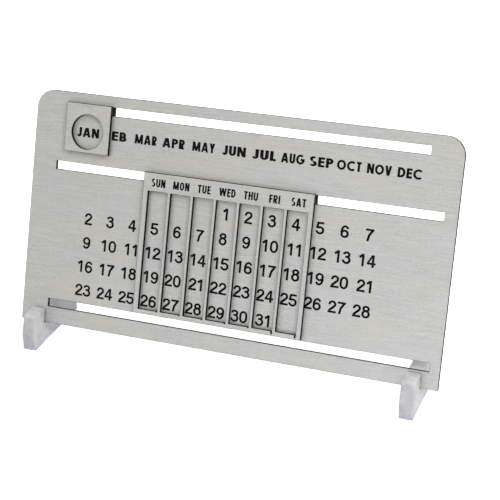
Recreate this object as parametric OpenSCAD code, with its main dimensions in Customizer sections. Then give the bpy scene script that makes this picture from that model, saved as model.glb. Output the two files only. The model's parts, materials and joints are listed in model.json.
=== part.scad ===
// Perpetual desk calendar: a slotted sheet that leans back in two slit feet, with a month
// marker in the top slot and a seven-day frame in the middle slot.
// Millimetres, +X to the right, +Y to the back, +Z up. The origin is on the desk, under the
// middle of the whole calendar.

/* [Sheet] */
// Width of the main panel
panel_w = 200; // [180:1:240]
// Height of the main panel, measured along its slope
panel_h = 107.6; // [100:0.1:130]
// Thickness of the laminate that every plate is cut from
sheet_t = 1.6; // [1.2:0.1:3]
// Radius of the panel's two top corners
corner_r = 8.2; // [2:0.1:12]
// Angle that the panel leans back from upright
lean = 20.5; // [12:0.5:28]

/* [Slots] */
// Height of each long slot
slot_h = 3.9; // [3:0.1:5]
// Panel's top edge down to the month slot
month_slot_drop = 4.9; // [4:0.1:8]
// Panel's bottom edge up to the base slot
base_slot_rise = 7.6; // [6:0.1:10]
// Left edge of the panel to the base slot
base_slot_left = 13.1; // [8:0.1:20]
// Right edge of the panel to the base slot
base_slot_right = 4.6; // [3:0.1:12]
// Left edge of the panel to the week slot
week_slot_left = 11.9; // [8:0.1:16]
// Right edge of the panel to the week slot
week_slot_right = 5.8; // [4:0.1:12]

/* [Month marker] */
// Left edge of the panel to the middle of the first month
month_first = 27.1; // [24:0.1:32]
// Right edge of the panel to the middle of the last month
month_last = 22.5; // [20:0.1:32]
// Side of the square marker tile
tile_side = 22.2; // [19:0.1:24]
// Radius of the tile's round window
window_r = 7.9; // [5:0.1:8.4]
// Distance that the round window sits below the middle of the tile
window_drop = 1.6; // [0:0.1:1.8]

/* [Week frame] */
// Distance from one day's column to the next
column_pitch = 11.05; // [9:0.05:11.5]
// Middle of the panel to the middle of the frame at rest, to the left
week_offset = 2.7; // [0:0.1:6]
// Width of the bars between the windows
bar_w = 1.45; // [0.8:0.05:3]
// Width of the frame outside its first window
frame_side_left = 2.5; // [1.5:0.1:4]
// Width of the frame outside its last window
frame_side_right = 2.2; // [1.5:0.1:4]
// Height of the band that names the days
day_band = 8.3; // [6:0.1:12]
// Height of the bar under the windows
frame_sill = 2.1; // [1.8:0.05:4]
// Clear height between the marker tile and the frame
slider_gap = 4.8; // [3:0.1:10]
// Clear height between the base slot and the frame
frame_rise = 0.4; // [0.4:0.1:3]
// Width of the saw nick in each window's lower right corner
nick_w = 0.6; // [0.3:0.1:1]
// Depth of the nick in the last two windows
nick_depth = 1.3; // [0.5:0.1:1.5]
// Depth of the nick in the other windows
small_nick_depth = 0.3; // [0.1:0.1:0.5]

/* [Runners and keepers] */
// Distance that a front plate reaches above its slot
top_lap = 0.42; // [0.2:0.01:1.5]
// Distance that a keeper reaches above its slot
keeper_lap_up = 2; // [1:0.1:3]
// Distance that a keeper reaches below its slot
keeper_lap_down = 6; // [3:0.1:8]
// Distance that a runner's ends stand in from the ends of its plates
runner_inset = 3.3; // [1:0.05:6]
// Running clearance between a runner and its slot, above and below
slot_play = 0.2; // [0.1:0.05:0.4]
// Running clearance between a slider's plates and the panel, front and back
face_play = 0.2; // [0.1:0.05:0.4]
// Gap left at the end of the month slot when the marker is at its stop
stop_gap = 0.2; // [0.1:0.05:0.5]

/* [Feet] */
// Thickness of each foot
foot_t = 6.2; // [4:0.1:10]
// Height of each foot
foot_h = 16; // [14:0.1:18]
// Height of the panel's lower front edge above the desk
seat_h = 9.7; // [6:0.1:11]
// Length of the foot in front of the panel's lower edge
toe_l = 10.8; // [9:0.1:20]
// Height of the toe's upright front
toe_h = 8; // [3:0.1:10]
// Length of the foot's top in front of the panel's lower edge
crown_front = 7; // [5:0.1:8.5]
// Radius that rounds the front of the foot's top
crown_r = 3; // [1:0.1:4]
// Length of the foot's top behind the panel's lower edge
crown_back = 12.5; // [10:0.1:20]
// Length of the foot behind the panel's lower edge
heel_l = 31; // [25:0.1:45]
// Height of the foot's back end
heel_h = 4.6; // [2:0.1:10]
// Play of the panel in its slit, all of it in front of the panel
slit_play = 0.5; // [0.1:0.05:0.8]
// Radius of the relief hole in the front corner of the slit's bottom
relief_r = 0.5; // [0.2:0.05:0.8]
// Left edge of the panel to the left foot
left_foot_in = 5.9; // [3:0.1:20]
// Right edge of the panel to the right foot
right_foot_in = 7.7; // [3:0.1:20]

/* [Hidden] */
$fn = 96;

SILVER = "silver";
CORE = "dimgray";
FROST = "lightsteelblue";

DAYS = 7;
MONTHS = 12;
CUT = 1; // overshoot of a cutting shape

// Heights along the panel's slope, from its lower edge
month_slot_top = panel_h - month_slot_drop;
month_slot_bottom = month_slot_top - slot_h;
tile_top = month_slot_top + top_lap;
tile_bottom = tile_top - tile_side;
frame_top = tile_bottom - slider_gap;
week_slot_top = frame_top - top_lap;
week_slot_bottom = week_slot_top - slot_h;
base_slot_top = base_slot_rise + slot_h;
frame_bottom = base_slot_top + frame_rise;

// Places across the panel, from its left edge
window_w = column_pitch - bar_w;
frame_w = frame_side_left + (DAYS - 1) * column_pitch + window_w + frame_side_right;
frame_left = panel_w / 2 - week_offset - frame_w / 2;
tile_left = month_first - tile_side / 2;
month_runner_w = tile_side - 2 * runner_inset;
month_slot_left = month_first - month_runner_w / 2 - stop_gap;
month_slot_right = panel_w - month_last + month_runner_w / 2 + stop_gap;

// Depths behind the panel's front face
front_plate_y = -face_play - sheet_t;
runner_t = sheet_t + 2 * face_play;
keeper_y = sheet_t + face_play;

// The panel's lower front edge, set so that the origin is under the middle
keeper_back_y = (month_slot_top + keeper_lap_up) * sin(lean) + (keeper_y + sheet_t) * cos(lean);
panel_back_y = panel_h * sin(lean) + sheet_t * cos(lean);
back_y = max(heel_l, keeper_back_y, panel_back_y);
panel_y = (toe_l - back_y) / 2;

// Moves a shape from the panel's own plane to where the panel leans.
// X runs across the panel, Z up its slope, Y into its thickness, from the lower left corner.
module on_panel() {
    translate([-panel_w / 2, panel_y, seat_h]) rotate([-lean, 0, 0]) children();
}

// Turns a flat outline into a plate of the given thickness, y behind the panel's front face
module plate(y, thickness) {
    on_panel() translate([0, y + thickness, 0]) rotate([90, 0, 0]) linear_extrude(thickness) children();
}

// Rectangle between two corners
module box2d(left, bottom, right, top) {
    translate([left, bottom]) square([right - left, top - bottom]);
}

module panel_outline() {
    box2d(0, 0, panel_w, panel_h - corner_r);
    box2d(corner_r, panel_h - 2 * corner_r, panel_w - corner_r, panel_h);
    for (x = [corner_r, panel_w - corner_r]) translate([x, panel_h - corner_r]) circle(corner_r);
}

module main_panel() {
    color(SILVER) plate(0, sheet_t) difference() {
        panel_outline();
        box2d(month_slot_left, month_slot_bottom, month_slot_right, month_slot_top);
        box2d(week_slot_left, week_slot_bottom, panel_w - week_slot_right, week_slot_top);
        box2d(base_slot_left, base_slot_rise, panel_w - base_slot_right, base_slot_top);
    }
}

// Side view of a foot: X is the depth behind the panel's lower front edge, Y the height
module foot_outline() {
    slope = atan2(foot_h - toe_h, toe_l - crown_front); // of the toe's front, from level
    round_back = crown_r * tan(slope / 2); // the corner to where its rounding ends
    round_points = [
        for (a = [90:slope / 8:90 + slope + 0.01])
            [-crown_front + round_back + crown_r * cos(a), foot_h - crown_r + crown_r * sin(a)]
    ];
    polygon(concat(
        [[heel_l, 0], [heel_l, heel_h], [crown_back, foot_h]],
        round_points,
        [[-toe_l, toe_h], [-toe_l, 0]]
    ));
}

// One foot, its left face at x across the panel, with the slit that the panel stands in
module foot(x) {
    slit_h = foot_h / cos(lean) + CUT;
    color(FROST) difference() {
        translate([x - panel_w / 2, panel_y, 0])
            rotate([90, 0, 90]) linear_extrude(foot_t) foot_outline();
        on_panel() translate([x - CUT, -slit_play, 0]) {
            cube([foot_t + 2 * CUT, sheet_t + slit_play, slit_h]);
            rotate([0, 90, 0]) cylinder(r = relief_r, h = foot_t + 2 * CUT);
        }
    }
}

module left_foot() {
    foot(left_foot_in);
}

module right_foot() {
    foot(panel_w - right_foot_in - foot_t);
}

// A slider's tongue in its slot, and the plate that keeps it there from behind
module runner(left, right, slot_bottom) {
    color(CORE) plate(-face_play, runner_t)
        box2d(left + runner_inset, slot_bottom + slot_play, right - runner_inset,
              slot_bottom + slot_h - slot_play);
}

module keeper(left, right, slot_bottom) {
    color(CORE) plate(keeper_y, sheet_t)
        box2d(left, slot_bottom - keeper_lap_down, right, slot_bottom + slot_h + keeper_lap_up);
}

module month_tile() {
    color(SILVER) plate(front_plate_y, sheet_t) difference() {
        box2d(tile_left, tile_bottom, tile_left + tile_side, tile_top);
        translate([month_first, (tile_bottom + tile_top) / 2 - window_drop]) circle(window_r);
    }
}

module month_runner() {
    runner(tile_left, tile_left + tile_side, month_slot_bottom);
}

module month_keeper() {
    keeper(tile_left, tile_left + tile_side, month_slot_bottom);
}

module week_frame() {
    sill_top = frame_bottom + frame_sill;
    color(SILVER) plate(front_plate_y, sheet_t) difference() {
        box2d(frame_left, frame_bottom, frame_left + frame_w, frame_top);
        for (day = [0:DAYS - 1]) {
            left = frame_left + frame_side_left + day * column_pitch;
            nick = day < DAYS - 2 ? small_nick_depth : nick_depth;
            box2d(left, sill_top, left + window_w, frame_top - day_band);
            box2d(left + window_w - nick_w, sill_top - nick, left + window_w, sill_top + CUT);
        }
    }
}

module week_runner() {
    runner(frame_left, frame_left + frame_w, week_slot_bottom);
}

module week_keeper() {
    keeper(frame_left, frame_left + frame_w, week_slot_bottom);
}

main_panel();
left_foot();
right_foot();
month_tile();
month_runner();
month_keeper();
week_frame();
week_runner();
week_keeper();
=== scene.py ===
"""Looks of a perpetual desk calendar.

Three plates of brushed silver laminate on a black core, with their legends cut through the
silver, stand in two frosted acrylic feet. Lengths are metres in the model's frame. Flat work is
laid out on the sheet: millimetres across, up the slope, and out of the panel's front face,
from the panel's lower left corner.
"""

import json
import math

import bmesh
import bpy
from bpy.props import FloatProperty, FloatVectorProperty, IntProperty, PointerProperty
from mathutils import Matrix, Vector
from mathutils.geometry import delaunay_2d_cdt

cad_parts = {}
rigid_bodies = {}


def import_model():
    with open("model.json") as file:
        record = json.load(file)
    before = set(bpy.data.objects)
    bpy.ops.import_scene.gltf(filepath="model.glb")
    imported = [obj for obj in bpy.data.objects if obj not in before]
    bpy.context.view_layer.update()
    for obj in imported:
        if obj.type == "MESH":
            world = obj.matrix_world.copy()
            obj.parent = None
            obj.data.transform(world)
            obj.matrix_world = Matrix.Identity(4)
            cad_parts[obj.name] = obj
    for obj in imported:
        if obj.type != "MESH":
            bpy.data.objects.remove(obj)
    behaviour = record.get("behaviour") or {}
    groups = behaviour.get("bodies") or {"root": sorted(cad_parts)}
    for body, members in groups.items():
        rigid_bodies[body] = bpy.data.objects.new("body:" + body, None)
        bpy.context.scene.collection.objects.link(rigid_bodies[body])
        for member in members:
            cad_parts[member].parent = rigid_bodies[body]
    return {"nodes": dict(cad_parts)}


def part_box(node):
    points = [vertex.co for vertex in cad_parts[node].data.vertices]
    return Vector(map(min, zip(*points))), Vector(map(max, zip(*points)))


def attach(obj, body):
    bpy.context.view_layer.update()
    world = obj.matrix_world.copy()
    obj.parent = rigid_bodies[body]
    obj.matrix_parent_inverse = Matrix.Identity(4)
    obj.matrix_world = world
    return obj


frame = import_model()

bl_info = {
    "name": "Perpetual Desk Calendar",
    "version": (1, 0, 0),
    "blender": (4, 5, 0),
    "location": "View3D > Sidebar > Calendar",
    "description": "Silver laminate, cut legends, acrylic feet and studio for a desk calendar",
    "category": "Object",
}

MM = 0.001
MATH, RANGE, MIX = "ShaderNodeMath", "ShaderNodeMapRange", "ShaderNodeMix"
COLOUR_A, COLOUR_B, MIXED = 6, 7, 2  # a colour mix's two colour inputs and its colour output
WHITE = (1.0, 1.0, 1.0)

STAND = "stand"
MONTH_SLIDER = "month_slider"
WEEK_SLIDER = "week_slider"

# Each month's name, and how far its middle is from the panel's left edge, in millimetres
MONTHS = {
    "JAN": 26.8, "FEB": 40.6, "MAR": 55.5, "APR": 69.1, "MAY": 83.6, "JUN": 98.2,
    "JUL": 112.3, "AUG": 125.4, "SEP": 138.3, "OCT": 150.8, "NOV": 164.2, "DEC": 177.6,
}
DAYS = ("SUN", "MON", "TUE", "WED", "THU", "FRI", "SAT")
LAST_DATE = 31

# Millimetres on the sheet
WELD = 0.002  # corners this near are one
FRONT_DEPTH = 0.1  # a front face lies no deeper than this
CUT_REACH = 1.0  # a cutter's reach on both sides of the front face

FACES_OUT = 0.9  # least share of a front face's normal that points out of the sheet

# Metres on the sheet, each where a finish or the painted shade begins and where it is whole
BACK_DEPTHS = (-1.5 * MM, -1.58 * MM)  # the grained back, out of the front face
SLIT_SHADE_HEIGHTS = (-0.5 * MM, -0.3 * MM)  # the painted shade beside the slits, up the slope

# Each soft light's place and width in metres
LIGHTS = {
    "key": ((-0.8, -0.3, 1.5), 0.8),
    "fill": ((0.62, -0.35, 0.76), 0.5),
    "back": ((0.2, 0.5, 0.9), 0.5),
    "low": ((0.05, -0.35, 0.06), 0.2),
}
FLOOR_REACH = 3.0  # metres from the middle to the floor's edges
CLIP = (0.05, 20.0)  # nearest and farthest metres that the camera sees


# ---------------------------------------------------------------- colours and small helpers


def to_linear(code):
    """An sRGB hex colour as linear red, green and blue."""
    channels = [int(code[i : i + 2], 16) / 255 for i in (1, 3, 5)]
    return tuple(c / 12.92 if c <= 0.04045 else ((c + 0.055) / 1.055) ** 2.4 for c in channels)


def opaque(rgb):
    return (*rgb, 1.0)


def add_node(tree, kind, inputs=None, output=0, **options):
    """Adds a node, sets its options, links or sets its inputs, and gives one of its outputs."""
    made = tree.nodes.new(kind)
    for name, value in options.items():
        setattr(made, name, value)
    for socket, value in (inputs or {}).items():
        if isinstance(value, bpy.types.NodeSocket):
            tree.links.new(value, made.inputs[socket])
        else:
            made.inputs[socket].default_value = value
    return made.outputs[output] if made.outputs else made


def length(name, description, default):
    """A size in metres, given in millimetres."""
    return FloatProperty(name=name, description=description, default=default * MM, unit="LENGTH",
                         precision=5, min=0)


def angle(name, description, default):
    """An angle, given in degrees."""
    return FloatProperty(name=name, description=description, default=math.radians(default),
                         unit="ROTATION")


def share(name, description, default):
    return FloatProperty(name=name, description=description, default=default, subtype="FACTOR",
                         min=0, max=2)


def power(name, description, default):
    """The power of a light in watts."""
    return FloatProperty(name=name, description=description, default=default, unit="POWER")


def colour(name, description, code):
    return FloatVectorProperty(name=name, description=description, default=to_linear(code),
                               subtype="COLOR", size=3, min=0, max=1)


# ---------------------------------------------------------------- settings


class CalendarSheet(bpy.types.PropertyGroup):
    lean: angle("Lean", "Angle that the panel leans back from upright", 20.5)
    skin: length("Silver", "Thickness of the silver on the core", 0.06)
    bond: length("Bond", "Depth that the silver is bonded into the core", 0.02)
    rim: length("Rim", "Black rim where the laser drew the silver back from a cut edge", 0.14)
    silver: colour("Silver", "Brushed silver between its darker strokes", "#CCCDCA")
    stroke: colour("Brush strokes", "Darker strokes of the brushing", "#B3B4B0")
    tarnish: colour("Warm patches", "Faint warm patches in the lacquer", "#C9C6B6")
    haze: colour("Cool patches", "Faint cool haze in the lacquer", "#C1C4CC")
    core: colour("Core", "Black core where it was cut", "#030303")
    core_worn: colour("Core, worn", "Black core where it is rubbed grey", "#0A0A0B")
    back: colour("Back", "Black core's matt, grained back", "#2A2A2C")
    back_worn: colour("Back, worn", "Black core's back where hands have rubbed it", "#3A3A3C")
    stroke_length: length("Stroke length", "Length of a brush stroke", 8)
    stroke_pitch: length("Stroke pitch", "Distance from one brush stroke to the next", 0.3)


class CalendarLegends(bpy.types.PropertyGroup):
    column_pitch: length("Column pitch", "Distance from one column of dates to the next", 11.056)
    row_pitch: length("Row pitch", "Distance from one row of dates to the next", 11.036)
    first_column: length("First column", "Panel's left edge to the first column of dates", 30.37)
    top_row: length("Top row", "Panel's lower edge to the middle of the top row of dates", 61.83)
    columns: IntProperty(name="Columns", description="Columns of dates", default=13, min=7)
    rows: IntProperty(name="Rows", description="Rows of dates", default=5, min=5)
    lead: IntProperty(name="Lead", description="Empty columns before the first date", default=6)
    date_height: length("Date height", "Height of the dates", 5.42)
    date_line: share("Date line", "Width of the dates' strokes against their height", 0.197)
    date_step: length("Date step", "Distance between the two digits of a date", 4.07)
    date_close: length("Date close", "Distance that a first digit moves in before a 1", 0.25)
    date_nudge: length("Date nudge", "Distance that a date ending in 1 sits to the right", 0.42)
    month_height: length("Month height", "Height of the months' names", 4.25)
    month_width: length("Month width", "Width that every month's name is stretched to", 10.85)
    month_row: length("Month row", "Panel's lower edge to the middle of the months' names", 90.05)
    month_line: share("Month line", "Width of the months' strokes against their height", 0.255)
    day_height: length("Day height", "Height of the days' names", 3.65)
    day_row: length("Day row", "Panel's lower edge to the middle of the days' names", 71.74)
    first_day: length("First day", "Week frame's left edge to the middle of the first day", 7.33)
    day_line: share("Day line", "Width of the days' strokes against their height", 0.22)


class CalendarFeet(bpy.types.PropertyGroup):
    acrylic: colour("Acrylic", "Frosted acrylic", "#E4E6E9")
    cloud: colour("Acrylic, clouded", "Frosted acrylic where its frosting is thicker", "#CBCDD1")
    glow: colour("Edge glow", "Bluish light that gathers along the toe's edge", "#D9D6FF")
    glow_height: length("Glow height", "Height of the bluish light above the desk", 2.2)
    # Painted shade: the next two set a dark line painted into the acrylic beside the slit, for
    # the shadow in the gap between foot and panel, and that line's width
    painted_slit_shade: colour("Soot", "Dark soot that the laser left in the slit", "#575452")
    slit: length("Sooty width", "Width across the slit and the sooty lines at its sides", 2.4)
    slit_middle: length("Slit middle", "Slit's middle, behind the panel's front face", 0.55)
    depth: length("Light depth", "Depth that light enters the acrylic", 3)


class CalendarStage(bpy.types.PropertyGroup):
    azimuth: angle("Azimuth", "Camera's angle to the right of straight ahead", 22.244)
    elevation: angle("Elevation", "Camera's angle above the desk", 27.501)
    roll: angle("Roll", "Camera's turn about its own axis", -2.113)
    distance: length("Distance", "Camera to the point it aims at", 638.91)
    aim: FloatVectorProperty(name="Aim", description="Point that the camera aims at",
                             default=(8.69 * MM, 5.17 * MM, 52.87 * MM), subtype="TRANSLATION")
    lens: FloatProperty(name="Lens", description="Focal length in mm on a 36 mm sensor",
                        default=104.226, min=10)
    floor: colour("Floor", "Plain pale floor", "#F4F4F3")
    key: power("Key light", "Power of the soft light above at the left", 10.3)
    fill: power("Fill light", "Power of the soft light at the right", 5.7)
    back: power("Back light", "Power of the soft light above and behind", 5.5)
    low: power("Low light", "Power of the soft light low in front", 0.11)
    warm: colour("Warm light", "Colour of the light at the right", "#FFFAF0")
    cool: colour("Cool light", "Colour of the low light", "#CCD8FF")
    sky: share("Sky", "Strength of the light from all round", 0.02)
    floor_glow: share("Floor glow", "White that the floor shows on top of the light on it", 0.72)


def settings(group):
    return getattr(bpy.context.scene, "calendar_" + group)


# ---------------------------------------------------------------- the sheet's own plane


def sheet_place():
    """Matrix from the sheet's millimetres (across, up the slope, out) to the model's metres."""
    low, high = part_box("main_panel")
    lean = settings("sheet").lean
    rise, run = math.cos(lean), math.sin(lean)
    # The panel's box is height x rise + thickness x run high and the other way round deep
    tall, deep = high.z - low.z, high.y - low.y
    thickness = (deep * rise - tall * run) / (rise * rise - run * run)
    across, up, out = Vector((1, 0, 0)), Vector((0, run, rise)), Vector((0, -rise, run))
    corner = Vector((low.x, low.y, low.z + thickness * run))
    turn = Matrix((across, up, out)).transposed().to_4x4()
    return Matrix.Translation(corner) @ turn @ Matrix.Scale(MM, 4)


def linked_object(name, data):
    thing = bpy.data.objects.new(name, data)
    bpy.context.scene.collection.objects.link(thing)
    return thing


def cover(mesh, material):
    """Gives every face of a mesh one material."""
    mesh.materials.clear()
    mesh.materials.append(material)
    for face in mesh.polygons:
        face.material_index = 0


def dress(node, material):
    """Gives a solid of the frame one material."""
    cover(frame["nodes"][node].data, material)


def finish_piece(name, mesh, body, material):
    """Shows a mesh as a piece that rides on a body, with flat faces of one material."""
    cover(mesh, material)
    mesh.shade_flat()
    piece = linked_object(name, mesh)
    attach(piece, body)


def evaluated_mesh(thing):
    """The mesh of an object with its modifiers applied. The object itself is removed."""
    graph = bpy.context.evaluated_depsgraph_get()
    mesh = bpy.data.meshes.new_from_object(thing.evaluated_get(graph))
    bpy.data.objects.remove(thing)
    return mesh


def thicken(bm, low, high):
    """Turns flat faces at one height into a closed plate from low to high."""
    for vertex in bm.verts:
        vertex.co.z = low
    grown = bmesh.ops.extrude_face_region(bm, geom=bm.faces[:], use_keep_orig=True)["geom"]
    for item in grown:
        if isinstance(item, bmesh.types.BMVert):
            item.co.z = high
    bmesh.ops.recalc_face_normals(bm, faces=bm.faces)


def front_skin(node, low, high, rim):
    """A solid's front face, drawn in by a rim, as a closed plate on the sheet, and its height."""
    bm = bmesh.new()
    bm.from_mesh(frame["nodes"][node].data)
    bmesh.ops.transform(bm, matrix=sheet_place().inverted(), verts=bm.verts)
    bmesh.ops.remove_doubles(bm, verts=bm.verts, dist=WELD)
    bm.normal_update()
    front = max(vertex.co.z for vertex in bm.verts)
    others = [face for face in bm.faces
              if face.normal.z < FACES_OUT or face.calc_center_median().z < front - FRONT_DEPTH]
    bmesh.ops.delete(bm, geom=others, context="FACES")
    border = bmesh.ops.inset_region(bm, faces=bm.faces[:], thickness=rim, use_boundary=True,
                                    use_even_offset=True)["faces"]
    bmesh.ops.delete(bm, geom=border, context="FACES")
    thicken(bm, front + low, front + high)
    mesh = bpy.data.meshes.new(node + "_skin")
    bm.to_mesh(mesh)
    bm.free()
    return mesh, front


def cut_through(mesh, cutters):
    """Cuts closed meshes out of a closed mesh."""
    work = linked_object("work", mesh)
    tools = [linked_object("cutter", cutter) for cutter in cutters]
    for tool in tools:
        cut = work.modifiers.new("cut", "BOOLEAN")
        cut.operation = "DIFFERENCE"
        cut.solver = "EXACT"
        cut.use_self = True
        cut.object = tool
    made = evaluated_mesh(work)
    for tool in tools:
        bpy.data.objects.remove(tool)
    return made


# ---------------------------------------------------------------- lettering, cut with one pen
# A letter is one unit high. Its strokes are four-sided patches that may overlap. Their places
# are shares of the letter's height, or of its width s.w, and s is the pen that draws them.


class Pen:
    """Draws a letter w wide, with upright strokes p wide and level strokes q wide."""

    LEVEL = 0.88  # level strokes against upright ones
    STEP = math.radians(15)  # one patch of a round stroke
    LEAST = 0.02  # least radius left inside a round stroke
    BOWL_DEPTH = 1.05  # a bowl's round end against half its height
    BOWL_SHARE = 0.9  # most of a bowl's reach that its round end takes up

    def __init__(self, w, p):
        self.w, self.p, self.q = w, p, p * self.LEVEL
        self.left, self.right, self.middle = p / 2, w - p / 2, w / 2
        self.patches = []

    def bar(self, x0, y0, x1, y1, weight=1.0):
        """A straight stroke whose ends are cut level, thinner with a lower weight."""
        half = weight * self.p / 2 * math.hypot(x1 - x0, y1 - y0) / abs(y1 - y0)
        self.patches.append([(x0 - half, y0), (x0 + half, y0), (x1 + half, y1), (x1 - half, y1)])

    def slant(self, x0, y0, x1, y1):
        """A straight stroke whose ends are cut square."""
        half = self.p / 2 / math.hypot(x1 - x0, y1 - y0)
        dx, dy = (y0 - y1) * half, (x1 - x0) * half
        self.patches.append([(x0 - dx, y0 - dy), (x1 - dx, y1 - dy),
                             (x1 + dx, y1 + dy), (x0 + dx, y0 + dy)])

    def stem(self, x, low=0.0, high=1.0):
        """An upright stroke whose middle is at x."""
        self.bar(x, low, x, high)

    def level(self, x0, x1, y):
        """A level stroke whose middle is at y."""
        low, high = y - self.q / 2, y + self.q / 2
        self.patches.append([(x0, low), (x1, low), (x1, high), (x0, high)])

    def ring(self, x, y, rx, ry, start=0, end=360):
        """Part of an oval stroke with outer radii rx and ry, from start to end in degrees."""
        start, end = math.radians(start), math.radians(end)
        steps = max(2, round(abs(end - start) / self.STEP))
        turns = [start + (end - start) * i / steps for i in range(steps + 1)]
        outer = [(x + rx * math.cos(t), y + ry * math.sin(t)) for t in turns]
        rx, ry = max(rx - self.p, self.LEAST), max(ry - self.q, self.LEAST)
        inner = [(x + rx * math.cos(t), y + ry * math.sin(t)) for t in turns]
        for i in range(steps):
            self.patches.append([outer[i], outer[i + 1], inner[i + 1], inner[i]])

    def bowl(self, low, high, reach):
        """A bowl from the left stem that reaches to a share of the letter's width."""
        ry = (high - low) / 2
        rx = min(ry * self.BOWL_DEPTH, (self.w * reach - self.p) * self.BOWL_SHARE)
        x = self.w * reach - rx
        self.ring(x, low + ry, rx, ry, -90, 90)
        self.level(self.left, x, low + self.q / 2)
        self.level(self.left, x, high - self.q / 2)


def draw_0(s):
    s.ring(s.middle, 0.61, s.middle, 0.4, 0, 180)
    s.ring(s.middle, 0.39, s.middle, 0.4, 180, 360)
    for x in (s.left, s.right):
        s.stem(x, 0.38, 0.62)


def draw_1(s):
    stem = s.w * 0.59
    s.stem(stem)
    s.slant(s.w * 0.16, 0.71, stem, 0.95)


def draw_2(s):
    s.ring(s.middle, 0.71, s.middle * 0.95, 0.3, 196, -45)
    s.slant(s.w * 0.13, 0.17, s.w * 0.745, 0.565)
    s.level(0, s.w, s.q / 2)


def draw_3(s):
    s.ring(s.middle * 0.96, 0.745, s.middle * 0.9, 0.262, 182, -90)
    s.ring(s.middle * 0.96, 0.324, s.middle * 1.04, 0.334, 90, -180)
    s.level(s.w * 0.32, s.middle, 0.571)


def draw_4(s):
    stem = s.w * 0.7
    s.stem(stem)
    s.level(0, s.w * 1.02, 0.3)
    s.bar(s.w * 0.08, 0.3, stem - s.p * 0.2, 1, 0.75)


def draw_5(s):
    s.level(s.w * 0.2, s.w * 0.92, 1 - s.q / 2)
    s.bar(s.w * 0.13, 0.47, s.w * 0.24, 1)
    s.ring(s.middle * 0.96, 0.325, s.middle * 1.04, 0.335, 138, -176)


def draw_6(s):
    s.ring(s.middle, 0.325, s.middle, 0.335)
    s.ring(s.middle * 1.08, 0.5, s.middle * 1.08, 0.51, 34, 205)


def draw_7(s):
    s.level(s.w * 0.03, s.w * 0.98, 1 - s.q / 2)
    s.bar(s.w * 0.46, 0.48, s.w * 0.88, 0.94)
    s.bar(s.w * 0.32, 0, s.w * 0.46, 0.5)


def draw_8(s):
    s.ring(s.middle, 0.753, s.middle * 0.88, 0.257)
    s.ring(s.middle, 0.325, s.middle, 0.335)


def draw_9(s):
    draw_6(s)
    s.patches = [[(s.w - x, 1 - y) for x, y in patch] for patch in s.patches]


def draw_a(s):
    foot = s.p * 0.56
    s.bar(foot, 0, s.middle - s.p * 0.12, 1)
    s.bar(s.w - foot, 0, s.middle + s.p * 0.12, 1)
    s.level(s.w * 0.22, s.w * 0.78, 0.28)


def draw_b(s):
    s.stem(s.left)
    s.bowl(0, 0.56, 1)
    s.bowl(0.56 - s.q, 1, 0.9)


def draw_c(s):
    s.ring(s.w * 0.57, 0.5, s.w * 0.57, 0.51, 48, 312)


def draw_d(s):
    s.stem(s.left)
    s.bowl(0, 1, 1)


def draw_e(s):
    s.stem(s.left)
    s.level(s.left, s.w, s.q / 2)
    s.level(s.left, s.w * 0.94, 0.52)
    s.level(s.left, s.w, 1 - s.q / 2)


def draw_f(s):
    s.stem(s.left)
    s.level(s.left, s.w, 1 - s.q / 2)
    s.level(s.left, s.w * 0.92, 0.5)


def draw_g(s):
    s.ring(s.middle, 0.5, s.middle, 0.51, 48, 362)
    s.level(s.middle * 1.05, s.w, 0.48)


def draw_h(s):
    s.stem(s.left)
    s.stem(s.right)
    s.level(s.left, s.right, 0.52)


def draw_i(s):
    s.stem(s.middle)


def draw_j(s):
    s.stem(s.right, 0.28)
    s.ring(s.w * 0.42, 0.3, s.w * 0.58, 0.31, 200, 362)


def draw_l(s):
    s.stem(s.left)
    s.level(s.left, s.w, s.q / 2)


def draw_m(s):
    foot = s.p * 0.52
    shoulder = s.w * 0.17
    s.bar(foot, 0, shoulder, 1)
    s.bar(s.w - foot, 0, s.w - shoulder, 1)
    s.bar(s.middle, 0.04, shoulder, 1)
    s.bar(s.middle, 0.04, s.w - shoulder, 1)


def draw_n(s):
    s.stem(s.left)
    s.stem(s.right)
    s.bar(s.right - s.p * 0.1, 0, s.left + s.p * 0.1, 1)


def draw_o(s):
    s.ring(s.middle, 0.5, s.middle, 0.51)


def draw_p(s):
    s.stem(s.left)
    s.bowl(0.4, 1, 1)


def draw_r(s):
    draw_p(s)
    s.bar(s.w - s.p * 0.62, 0, s.w * 0.48, 0.46)


def draw_s(s):
    s.ring(s.middle, 0.74, s.middle * 0.9, 0.27, 38, 262)
    s.ring(s.middle, 0.275, s.middle, 0.285, 96, -148)


def draw_t(s):
    s.stem(s.middle)
    s.level(0, s.w, 1 - s.q / 2)


def draw_u(s):
    s.stem(s.left, 0.34)
    s.stem(s.right, 0.34)
    s.ring(s.middle, 0.35, s.middle, 0.36, 178, 362)


def draw_v(s):
    s.bar(s.middle - s.p * 0.1, 0, s.p * 0.54, 1)
    s.bar(s.middle + s.p * 0.1, 0, s.w - s.p * 0.54, 1)


def draw_w(s):
    foot = s.w * 0.27
    for x in (s.p * 0.52, s.middle):
        s.bar(foot, 0, x, 1)
    for x in (s.w - s.p * 0.52, s.middle):
        s.bar(s.w - foot, 0, x, 1)


def draw_y(s):
    s.stem(s.middle, 0, 0.46)
    s.bar(s.middle, 0.38, s.p * 0.56, 1)
    s.bar(s.middle, 0.38, s.w - s.p * 0.56, 1)


DRAW_DIGIT = (draw_0, draw_1, draw_2, draw_3, draw_4, draw_5, draw_6, draw_7, draw_8, draw_9)
DRAW_CAPITAL = {
    "A": draw_a, "B": draw_b, "C": draw_c, "D": draw_d, "E": draw_e, "F": draw_f, "G": draw_g,
    "H": draw_h, "I": draw_i, "J": draw_j, "L": draw_l, "M": draw_m, "N": draw_n, "O": draw_o,
    "P": draw_p, "R": draw_r, "S": draw_s, "T": draw_t, "U": draw_u, "V": draw_v, "W": draw_w,
    "Y": draw_y,
}

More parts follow.
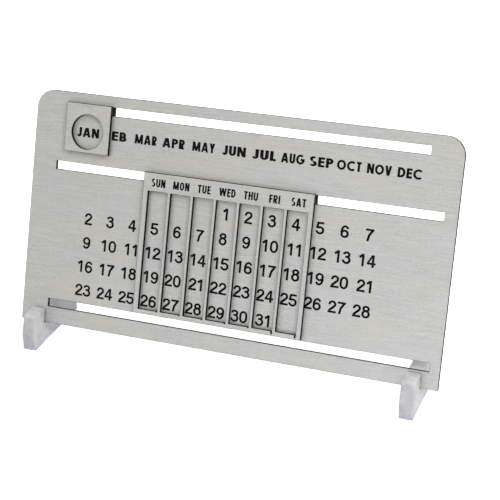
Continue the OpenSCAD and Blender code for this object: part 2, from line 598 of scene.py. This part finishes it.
# Widths of the characters, as shares of their height
DIGIT_WIDTH = 0.71
MONTH_WIDTHS = {
    "A": 0.83, "B": 0.62, "C": 0.93, "D": 0.77, "E": 0.56, "F": 0.5, "G": 0.94, "J": 0.43,
    "L": 0.45, "M": 0.97, "N": 0.75, "O": 0.97, "P": 0.61, "R": 0.57, "S": 0.65, "T": 0.51,
    "U": 0.62, "V": 0.74, "Y": 0.66,
}
DAY_WIDTHS = {
    "A": 0.66, "D": 0.58, "E": 0.44, "F": 0.43, "H": 0.57, "I": 0.22, "M": 0.81, "N": 0.59,
    "O": 0.6, "R": 0.56, "S": 0.52, "T": 0.51, "U": 0.57, "W": 0.95,
}
LETTER_GAP = 0.09

INSIDE = 1  # the triangulation that keeps what lies inside its faces
SNAP = 5e-5  # points of the triangulation this near are one


def word_patches(word, widths, height, line, middle, row, span=0.0):
    """A word's strokes on the sheet, centred at middle and row, and stretched to a given span."""
    patches, x = [], 0.0
    for letter in word:
        pen = Pen(widths[letter], line)
        DRAW_CAPITAL[letter](pen)
        patches += [[(x + px, py) for px, py in patch] for patch in pen.patches]
        x += pen.w + LETTER_GAP
    x -= LETTER_GAP
    across = span / x if span else height
    return [[(middle + (px - x / 2) * across, row + (py - 0.5) * height) for px, py in patch]
            for patch in patches]


def prism(name, patches, low, high):
    """One closed mesh of the area that overlapping patches cover, from low to high."""
    corners, faces = [], []
    for patch in patches:
        area = sum(a[0] * b[1] - b[0] * a[1] for a, b in zip(patch, patch[1:] + patch[:1]))
        faces.append(list(range(len(corners), len(corners) + len(patch))))
        corners += [Vector(p) for p in (patch if area > 0 else patch[::-1])]
    vertices, _, triangles, _, _, sources = delaunay_2d_cdt(corners, [], faces, INSIDE, SNAP)
    bm = bmesh.new()
    grown = [bm.verts.new((v.x, v.y, 0)) for v in vertices]
    for triangle, source in zip(triangles, sources):
        if source:
            bm.faces.new([grown[i] for i in triangle])
    bmesh.ops.delete(bm, geom=[v for v in bm.verts if not v.link_faces], context="VERTS")
    thicken(bm, low, high)
    mesh = bpy.data.meshes.new(name)
    bm.to_mesh(mesh)
    bm.free()
    return mesh


def date_grid_tree():
    """Dates on a grid: each point picks its digits, and the dates run on from row to row."""
    tree = bpy.data.node_groups.new("date_grid", "GeometryNodeTree")
    for name, kind in (
        ("Columns", "Int"), ("Rows", "Int"), ("Lead", "Int"), ("Last Date", "Int"),
        ("Column Pitch", "Float"), ("Row Pitch", "Float"), ("Height", "Float"),
        ("Digit Step", "Float"), ("Close", "Float"), ("Nudge", "Float"), ("Start", "Vector"),
        ("Digits", "Collection"), ("Material", "Material"),
    ):
        tree.interface.new_socket(name, in_out="INPUT", socket_type="NodeSocket" + kind)
    tree.interface.new_socket("Geometry", in_out="OUTPUT", socket_type="NodeSocketGeometry")
    given = tree.nodes.new("NodeGroupInput").outputs

    half = 0.5  # between two whole numbers
    sliver = 0.01  # keeps a whole quotient from being rounded down
    index = add_node(tree, "GeometryNodeInputIndex")
    column = add_node(tree, MATH, {0: index, 1: given["Columns"]}, operation="MODULO")
    row = add_node(tree, MATH, {0: index, 1: given["Columns"]}, operation="DIVIDE")
    row = add_node(tree, MATH, {0: row, 1: sliver}, operation="ADD")
    row = add_node(tree, MATH, {0: row}, operation="FLOOR")
    first = add_node(tree, MATH, {0: 1.0, 1: given["Lead"]}, operation="SUBTRACT")
    date = add_node(tree, MATH, {0: row, 1: len(DAYS), 2: column}, operation="MULTIPLY_ADD")
    date = add_node(tree, MATH, {0: date, 1: first}, operation="ADD")

    pitch = add_node(tree, "ShaderNodeCombineXYZ", {
        "X": given["Column Pitch"], "Y": given["Row Pitch"]})
    cell = add_node(tree, "ShaderNodeCombineXYZ", {"X": column, "Y": row})
    cell = add_node(tree, "ShaderNodeVectorMath", {0: cell, 1: (1, -1, 0)}, operation="MULTIPLY")
    place = add_node(tree, "ShaderNodeVectorMath", {0: cell, 1: pitch, 2: given["Start"]},
                     operation="MULTIPLY_ADD")
    count = add_node(tree, MATH, {0: given["Columns"], 1: given["Rows"]}, operation="MULTIPLY")
    points = add_node(tree, "GeometryNodePoints", {"Count": count, "Position": place})
    digits = add_node(tree, "GeometryNodeCollectionInfo", {
        "Collection": given["Digits"], "Separate Children": True, "Reset Children": True})
    size = add_node(tree, "ShaderNodeCombineXYZ", {
        "X": given["Height"], "Y": given["Height"], "Z": 1.0})

    begun = add_node(tree, MATH, {0: date, 1: half}, operation="GREATER_THAN")
    end = add_node(tree, MATH, {0: given["Last Date"], 1: half}, operation="ADD")
    shown = add_node(tree, MATH, {0: date, 1: end}, operation="LESS_THAN")
    shown = add_node(tree, MATH, {0: shown, 1: begun}, operation="MULTIPLY")
    tens = add_node(tree, MATH, {0: date, 1: 0.1, 2: sliver}, operation="MULTIPLY_ADD")
    tens = add_node(tree, MATH, {0: tens}, operation="FLOOR")
    units = add_node(tree, MATH, {0: tens, 1: -10.0, 2: date}, operation="MULTIPLY_ADD")
    paired = add_node(tree, MATH, {0: tens, 1: half}, operation="GREATER_THAN")
    paired = add_node(tree, MATH, {0: paired, 1: shown}, operation="MULTIPLY")
    ends_in_1 = add_node(tree, MATH, {0: units, 1: 1.0, 2: half}, operation="COMPARE")
    nudge = add_node(tree, MATH, {0: ends_in_1, 1: given["Nudge"]}, operation="MULTIPLY")
    close = add_node(tree, MATH, {0: ends_in_1, 1: given["Close"]}, operation="MULTIPLY")
    right = add_node(tree, MATH, {0: given["Digit Step"], 1: 0.5}, operation="MULTIPLY")
    right = add_node(tree, MATH, {0: right, 1: paired}, operation="MULTIPLY")
    left = add_node(tree, MATH, {0: close, 1: right}, operation="SUBTRACT")
    joined = tree.nodes.new("GeometryNodeJoinGeometry")
    for digit, selection, side in ((units, shown, right), (tens, paired, left)):
        offset = add_node(tree, MATH, {0: side, 1: nudge}, operation="ADD")
        offset = add_node(tree, "ShaderNodeCombineXYZ", {"X": offset})
        moved = add_node(tree, "GeometryNodeSetPosition", {"Geometry": points, "Offset": offset})
        drawn = add_node(tree, "GeometryNodeInstanceOnPoints", {
            "Points": moved, "Selection": selection, "Instance": digits,
            "Pick Instance": True, "Instance Index": digit, "Scale": size})
        tree.links.new(drawn, joined.inputs[0])
    real = add_node(tree, "GeometryNodeRealizeInstances", {"Geometry": joined.outputs[0]})
    cut = add_node(tree, "GeometryNodeSetMaterial", {
        "Geometry": real, "Material": given["Material"]})
    add_node(tree, "NodeGroupOutput", {0: cut})
    return tree


def date_cutter(low, high, material):
    """All the dates as one mesh that cuts them out of the panel's silver."""
    legends = settings("legends")
    drawer = bpy.data.collections.new("digits")
    bpy.context.scene.collection.children.link(drawer)
    for digit, draw in enumerate(DRAW_DIGIT):
        pen = Pen(DIGIT_WIDTH, legends.date_line)
        draw(pen)
        patches = [[(x - DIGIT_WIDTH / 2, y - 0.5) for x, y in patch] for patch in pen.patches]
        shape = prism("digit", patches, low, high)
        drawer.objects.link(bpy.data.objects.new(f"digit_{digit}", shape))
    tree = date_grid_tree()
    grid = linked_object("dates", bpy.data.meshes.new("dates"))
    nodes = grid.modifiers.new("dates", "NODES")
    nodes.node_group = tree
    values = {
        "Columns": legends.columns, "Rows": legends.rows, "Lead": legends.lead,
        "Last Date": LAST_DATE, "Column Pitch": legends.column_pitch / MM,
        "Row Pitch": legends.row_pitch / MM, "Height": legends.date_height / MM,
        "Digit Step": legends.date_step / MM, "Close": legends.date_close / MM,
        "Nudge": legends.date_nudge / MM,
        "Start": (legends.first_column / MM, legends.top_row / MM, 0.0),
        "Digits": drawer, "Material": material,
    }
    for item in tree.interface.items_tree:
        if item.in_out == "INPUT":
            nodes[item.identifier] = values[item.name]
    made = evaluated_mesh(grid)
    for digit in list(drawer.objects):
        bpy.data.objects.remove(digit)
    bpy.data.collections.remove(drawer)
    return made


# ---------------------------------------------------------------- materials


def new_material(name):
    """An empty material, with its tree and its shader's inputs."""
    material = bpy.data.materials.new(name)
    material.use_nodes = True
    tree = material.node_tree
    tree.nodes.clear()
    shader = tree.nodes.new("ShaderNodeBsdfPrincipled")
    add_node(tree, "ShaderNodeOutputMaterial", {"Surface": shader.outputs[0]})
    return material, tree, shader.inputs


def mottle(tree, coordinates, size, turn=0.0, detail=2.0, roughness=0.5):
    """Patches about size metres long along each axis, after a turn about X."""
    spread = add_node(tree, "ShaderNodeMapping", {
        "Vector": coordinates, "Rotation": (turn, 0, 0), "Scale": size}, vector_type="TEXTURE")
    return add_node(tree, "ShaderNodeTexNoise", {
        "Vector": spread, "Scale": 1.0, "Detail": detail, "Roughness": roughness})


def on_sheet(tree, coordinates, axis):
    """How far a point is across (0), up the slope (1) or in front of the sheet (2), in metres."""
    row = sheet_place().inverted().row[axis] * MM
    reach = add_node(tree, "ShaderNodeVectorMath", {0: coordinates, 1: row.xyz}, "Value",
                     operation="DOT_PRODUCT")
    return add_node(tree, MATH, {0: reach, 1: row.w}, operation="ADD")


def brushed_silver():
    """Metallised foil under matt lacquer, brushed along its length.

    The strokes give the eye its fine level lines, and turn a highlight into a broad soft band.
    """
    sheet = settings("sheet")
    material, tree, shader = new_material("brushed_silver_laminate")
    coordinates = add_node(tree, "ShaderNodeTexCoord", output="Object")
    turn = -sheet.lean
    # Real brushing is about 0.05 mm apart. It is drawn 0.15 to 0.3 mm apart so that it shows.
    stroke = mottle(tree, coordinates, (sheet.stroke_length, 2 * MM, sheet.stroke_pitch), turn, 3)
    broken = mottle(tree, coordinates, (1.5 * MM, 1 * MM, 0.33 * MM), turn, 2)
    hair = mottle(tree, coordinates, (6 * MM, 1 * MM, 0.15 * MM), turn, 1)
    brushing = add_node(tree, MATH, {0: stroke, 1: broken}, operation="ADD")
    brushing = add_node(tree, RANGE, {0: brushing, "From Min": 0.75, "From Max": 1.25})
    shade = add_node(tree, MIX, {0: brushing, COLOUR_A: opaque(sheet.stroke),
                                 COLOUR_B: opaque(sheet.silver)}, MIXED, data_type="RGBA")
    warm = mottle(tree, coordinates, (38 * MM, 10 * MM, 14 * MM), turn, 3)
    warm = add_node(tree, RANGE, {0: warm, "From Min": 0.45, "From Max": 0.7, "To Max": 0.45})
    shade = add_node(tree, MIX, {0: warm, COLOUR_A: shade, COLOUR_B: opaque(sheet.tarnish)},
                     MIXED, data_type="RGBA")
    cool = mottle(tree, coordinates, (31 * MM, 10 * MM, 17 * MM), turn, 3)
    cool = add_node(tree, RANGE, {0: cool, "From Min": 0.5, "From Max": 0.72, "To Max": 0.4})
    shade = add_node(tree, MIX, {0: cool, COLOUR_A: shade, COLOUR_B: opaque(sheet.haze)},
                     MIXED, data_type="RGBA")
    tree.links.new(shade, shader["Base Color"])
    gloss = add_node(tree, RANGE, {0: hair, "From Min": 0.3, "From Max": 0.7, "To Min": 0.38,
                                   "To Max": 0.5})
    tree.links.new(gloss, shader["Roughness"])
    grooves = add_node(tree, "ShaderNodeBump", {
        "Height": hair, "Strength": 0.25, "Distance": 0.02 * MM})
    tree.links.new(grooves, shader["Normal"])
    shader["Metallic"].default_value = 0.35
    return material


def black_core():
    """Black plastic core of the laminate.

    Cut edges are a dense black, as the laser leaves them. The grained back is a soft charcoal
    that shows its edges and keepers, with faint patches where hands have rubbed it.
    """
    sheet = settings("sheet")
    material, tree, shader = new_material("black_laminate_core")
    coordinates = add_node(tree, "ShaderNodeTexCoord", output="Object")
    grain = mottle(tree, coordinates, (0.5 * MM, 0.5 * MM, 0.5 * MM), 0, 3, 0.6)
    rub = mottle(tree, coordinates, (22 * MM, 14 * MM, 9 * MM), -sheet.lean, 4)
    worn = add_node(tree, RANGE, {0: rub, "From Min": 0.4, "From Max": 0.75})
    cut = add_node(tree, MIX, {0: worn, COLOUR_A: opaque(sheet.core),
                               COLOUR_B: opaque(sheet.core_worn)}, MIXED, data_type="RGBA")
    grained = add_node(tree, MIX, {0: worn, COLOUR_A: opaque(sheet.back),
                                   COLOUR_B: opaque(sheet.back_worn)}, MIXED, data_type="RGBA")
    behind = add_node(tree, RANGE, {0: on_sheet(tree, coordinates, 2),
                                    "From Min": BACK_DEPTHS[0], "From Max": BACK_DEPTHS[1]})
    shade = add_node(tree, MIX, {0: behind, COLOUR_A: cut, COLOUR_B: grained}, MIXED,
                     data_type="RGBA")
    tree.links.new(shade, shader["Base Color"])
    gloss = add_node(tree, RANGE, {0: rub, "From Min": 0.3, "From Max": 0.7, "To Min": 0.5,
                                   "To Max": 0.64})
    tree.links.new(gloss, shader["Roughness"])
    texture = add_node(tree, "ShaderNodeBump", {
        "Height": grain, "Strength": 0.35, "Distance": 0.03 * MM})
    tree.links.new(texture, shader["Normal"])
    shader["Specular IOR Level"].default_value = 0.08
    return material


def frosted_acrylic():
    """Cast acrylic, frosted by sanding.

    It looks milky, lets light in a little way, and gathers a bluish glow along its toe. A thin
    dark line of painted shade beside the slit stands in for the shadow in the gap at the panel.
    """
    feet = settings("feet")
    material, tree, shader = new_material("sanded_cast_acrylic")
    coordinates = add_node(tree, "ShaderNodeTexCoord", output="Object")
    frosting = mottle(tree, coordinates, (5 * MM, 5 * MM, 4 * MM), 0, 4, 0.6)
    frosting = add_node(tree, RANGE, {0: frosting, "From Min": 0.4, "From Max": 0.68})
    shade = add_node(tree, MIX, {0: frosting, COLOUR_A: opaque(feet.acrylic),
                                 COLOUR_B: opaque(feet.cloud)}, MIXED, data_type="RGBA")
    height = add_node(tree, "ShaderNodeSeparateXYZ", {0: coordinates}, "Z")
    near_desk = add_node(tree, RANGE, {0: height, "From Min": 0.0, "From Max": feet.glow_height,
                                       "To Min": 0.9, "To Max": 0.0})
    shade = add_node(tree, MIX, {0: near_desk, COLOUR_A: shade, COLOUR_B: opaque(feet.glow)},
                     MIXED, data_type="RGBA")
    # Painted shade: the colour darkens to a thin dark line beside the slit, above its floor, for
    # the shadow in the gap between foot and panel
    beside = add_node(tree, MATH, {0: on_sheet(tree, coordinates, 2), 1: -feet.slit_middle,
                                   2: feet.slit / 2}, operation="COMPARE")
    above = add_node(tree, RANGE, {0: on_sheet(tree, coordinates, 1),
                                   "From Min": SLIT_SHADE_HEIGHTS[0], "From Max": SLIT_SHADE_HEIGHTS[1]})
    slit_shade_mask = add_node(tree, MATH, {0: beside, 1: above}, operation="MULTIPLY")
    shade = add_node(tree, MIX, {0: slit_shade_mask, COLOUR_A: shade, COLOUR_B: opaque(feet.painted_slit_shade)},
                     MIXED, data_type="RGBA")
    tree.links.new(shade, shader["Base Color"])
    sanding = mottle(tree, coordinates, (0.4 * MM, 0.4 * MM, 0.4 * MM), 0, 2)
    gloss = add_node(tree, RANGE, {0: sanding, "From Min": 0.3, "From Max": 0.7, "To Min": 0.4,
                                   "To Max": 0.55})
    tree.links.new(gloss, shader["Roughness"])
    texture = add_node(tree, "ShaderNodeBump", {
        "Height": sanding, "Strength": 0.2, "Distance": 0.03 * MM})
    tree.links.new(texture, shader["Normal"])
    shader["IOR"].default_value = 1.49
    shader["Transmission Weight"].default_value = 0.2
    shader["Subsurface Weight"].default_value = 0.8
    shader["Subsurface Radius"].default_value = (1.0, 1.0, 1.0)
    shader["Subsurface Scale"].default_value = feet.depth
    return material


def material_named(name, make):
    """The material of that name, made once."""
    return bpy.data.materials.get(name) or make()


def silver():
    return material_named("brushed_silver_laminate", brushed_silver)


def core():
    return material_named("black_laminate_core", black_core)


def laminate(node, name, body, cutters_at):
    """Black core with a silver skin on its front, and whatever is cut through the skin."""
    sheet = settings("sheet")
    dress(node, core())
    mesh, front = front_skin(node, -sheet.bond / MM, sheet.skin / MM, sheet.rim / MM)
    cutters = cutters_at(front - CUT_REACH, front + CUT_REACH)
    if cutters:
        mesh = cut_through(mesh, cutters)
    mesh.transform(sheet_place())
    finish_piece(name, mesh, body, silver())


# ---------------------------------------------------------------- operators


class CALENDAR_OT_main_panel(bpy.types.Operator):
    """Main panel: silver on black core, with the dates and the months cut through the silver"""

    bl_idname = "calendar.main_panel"
    bl_label = "Main Panel"
    bl_options = {"REGISTER", "UNDO"}

    def execute(self, context):
        legends = settings("legends")

        def cutters(low, high):
            patches = []
            for word, middle in MONTHS.items():
                patches += word_patches(word, MONTH_WIDTHS, legends.month_height / MM,
                                        legends.month_line, middle, legends.month_row / MM,
                                        legends.month_width / MM)
            return [date_cutter(low, high, core()), prism("months", patches, low, high)]

        laminate("main_panel", "panel_skin", STAND, cutters)
        return {"FINISHED"}


class CALENDAR_OT_month_marker(bpy.types.Operator):
    """Month marker: square silver tile with its round window"""

    bl_idname = "calendar.month_marker"
    bl_label = "Month Marker"
    bl_options = {"REGISTER", "UNDO"}

    def execute(self, context):
        laminate("month_tile", "month_tile_skin", MONTH_SLIDER, lambda low, high: [])
        for node in ("month_runner", "month_keeper"):
            dress(node, core())
        return {"FINISHED"}


class CALENDAR_OT_week_frame(bpy.types.Operator):
    """Week frame: silver plate with seven windows and the days cut through the silver"""

    bl_idname = "calendar.week_frame"
    bl_label = "Week Frame"
    bl_options = {"REGISTER", "UNDO"}

    def execute(self, context):
        legends = settings("legends")
        to_sheet = sheet_place().inverted()
        corners = frame["nodes"]["week_frame"].data.vertices
        first_day = min((to_sheet @ v.co).x for v in corners) + legends.first_day / MM

        def cutters(low, high):
            patches = []
            for number, word in enumerate(DAYS):
                across = first_day + number * legends.column_pitch / MM
                patches += word_patches(word, DAY_WIDTHS, legends.day_height / MM,
                                        legends.day_line, across, legends.day_row / MM)
            return [prism("days", patches, low, high)]

        laminate("week_frame", "week_frame_skin", WEEK_SLIDER, cutters)
        for node in ("week_runner", "week_keeper"):
            dress(node, core())
        return {"FINISHED"}


class CALENDAR_OT_feet(bpy.types.Operator):
    """Two feet of frosted acrylic"""

    bl_idname = "calendar.feet"
    bl_label = "Feet"
    bl_options = {"REGISTER", "UNDO"}

    def execute(self, context):
        acrylic = material_named("sanded_cast_acrylic", frosted_acrylic)
        for node in ("left_foot", "right_foot"):
            dress(node, acrylic)
        return {"FINISHED"}


def seen_directly(tree):
    """1 where the camera, a reflection or clear material looks at it, 0 where it only lights."""
    path = tree.nodes.new("ShaderNodeLightPath").outputs
    seen = path["Is Camera Ray"]
    for other in ("Is Glossy Ray", "Is Transmission Ray"):
        seen = add_node(tree, MATH, {0: seen, 1: path[other]}, operation="MAXIMUM")
    return seen


def pale_floor(stage):
    """Matt white studio paper: it shows white, and keeps the calendar's soft shadow."""
    material, tree, shader = new_material("studio_paper")
    shader["Base Color"].default_value = opaque(stage.floor)
    shader["Roughness"].default_value = 0.9
    shader["Emission Color"].default_value = opaque(WHITE)
    glow = add_node(tree, MATH, {0: seen_directly(tree), 1: stage.floor_glow},
                    operation="MULTIPLY")
    tree.links.new(glow, shader["Emission Strength"])
    return material


def studio_world(stage):
    world = bpy.data.worlds.new("studio")
    world.use_nodes = True
    tree = world.node_tree
    tree.nodes.clear()
    strength = add_node(tree, RANGE, {0: seen_directly(tree), "To Min": stage.sky, "To Max": 1.0})
    sky = add_node(tree, "ShaderNodeBackground", {"Color": opaque(WHITE), "Strength": strength})
    add_node(tree, "ShaderNodeOutputWorld", {"Surface": sky})
    return world


def soft_light(name, place, width, power, tint, aim):
    """A round soft light that looks at aim."""
    lamp = bpy.data.lights.new(name, "AREA")
    lamp.shape = "DISK"
    lamp.size = width
    lamp.energy = power
    lamp.color = tint
    light = linked_object(name, lamp)
    light.location = place
    light.rotation_euler = (aim - Vector(place)).to_track_quat("-Z", "Y").to_euler()


class CALENDAR_OT_stage(bpy.types.Operator):
    """Pale floor, white surroundings, four soft lights and the camera"""

    bl_idname = "calendar.stage"
    bl_label = "Stage"
    bl_options = {"REGISTER", "UNDO"}

    def execute(self, context):
        stage = settings("stage")
        scene = context.scene
        paper = bpy.data.meshes.new("floor")
        bm = bmesh.new()
        bmesh.ops.create_grid(bm, x_segments=1, y_segments=1, size=FLOOR_REACH)
        bm.to_mesh(paper)
        bm.free()
        paper.materials.append(pale_floor(stage))
        linked_object("floor", paper)
        scene.world = studio_world(stage)
        aim = Vector(stage.aim)
        tints = {"fill": stage.warm, "low": stage.cool}
        for name, (place, width) in LIGHTS.items():
            soft_light(name + "_light", place, width, getattr(stage, name),
                       tints.get(name, WHITE), aim)

        flat = Vector((math.sin(stage.azimuth), -math.cos(stage.azimuth), 0))
        back = flat * math.cos(stage.elevation) + Vector((0, 0, math.sin(stage.elevation)))
        level = Vector((0, 0, 1)).cross(flat)
        upright = back.cross(level)
        across = level * math.cos(stage.roll) + upright * math.sin(stage.roll)
        turn = Matrix((across, back.cross(across), back)).transposed().to_4x4()
        lens = bpy.data.cameras.new("camera")
        lens.lens = stage.lens
        lens.clip_start, lens.clip_end = CLIP
        camera = linked_object("camera", lens)
        camera.matrix_world = Matrix.Translation(aim + back * stage.distance) @ turn
        scene.camera = camera
        scene.view_settings.view_transform = "Standard"
        return {"FINISHED"}


OPERATORS = (
    CALENDAR_OT_main_panel,
    CALENDAR_OT_month_marker,
    CALENDAR_OT_week_frame,
    CALENDAR_OT_feet,
    CALENDAR_OT_stage,
)


class CALENDAR_PT_sidebar(bpy.types.Panel):
    """Sizes and colours of the calendar, and a button for each of its parts"""

    bl_idname = "CALENDAR_PT_sidebar"
    bl_label = "Desk Calendar"
    bl_space_type = "VIEW_3D"
    bl_region_type = "UI"
    bl_category = "Calendar"

    def draw(self, context):
        for name in GROUPS:
            box = self.layout.box()
            box.label(text=name.capitalize())
            group = settings(name)
            for field in group.bl_rna.properties:
                if not field.is_readonly and field.identifier != "name":
                    box.prop(group, field.identifier)
        for operator in OPERATORS:
            self.layout.operator(operator.bl_idname)


GROUPS = {
    "sheet": CalendarSheet,
    "legends": CalendarLegends,
    "feet": CalendarFeet,
    "stage": CalendarStage,
}


def register():
    for made in (*GROUPS.values(), *OPERATORS, CALENDAR_PT_sidebar):
        bpy.utils.register_class(made)
    for name, group in GROUPS.items():
        setattr(bpy.types.Scene, "calendar_" + name, PointerProperty(type=group))


def unregister():
    for name in GROUPS:
        delattr(bpy.types.Scene, "calendar_" + name)
    for made in (CALENDAR_PT_sidebar, *reversed(OPERATORS), *reversed(GROUPS.values())):
        bpy.utils.unregister_class(made)


def main():
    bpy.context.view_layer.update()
    register()
    bpy.ops.calendar.main_panel()
    bpy.ops.calendar.month_marker()
    bpy.ops.calendar.week_frame()
    bpy.ops.calendar.feet()
    bpy.ops.calendar.stage()


if __name__ == "__main__":
    main()
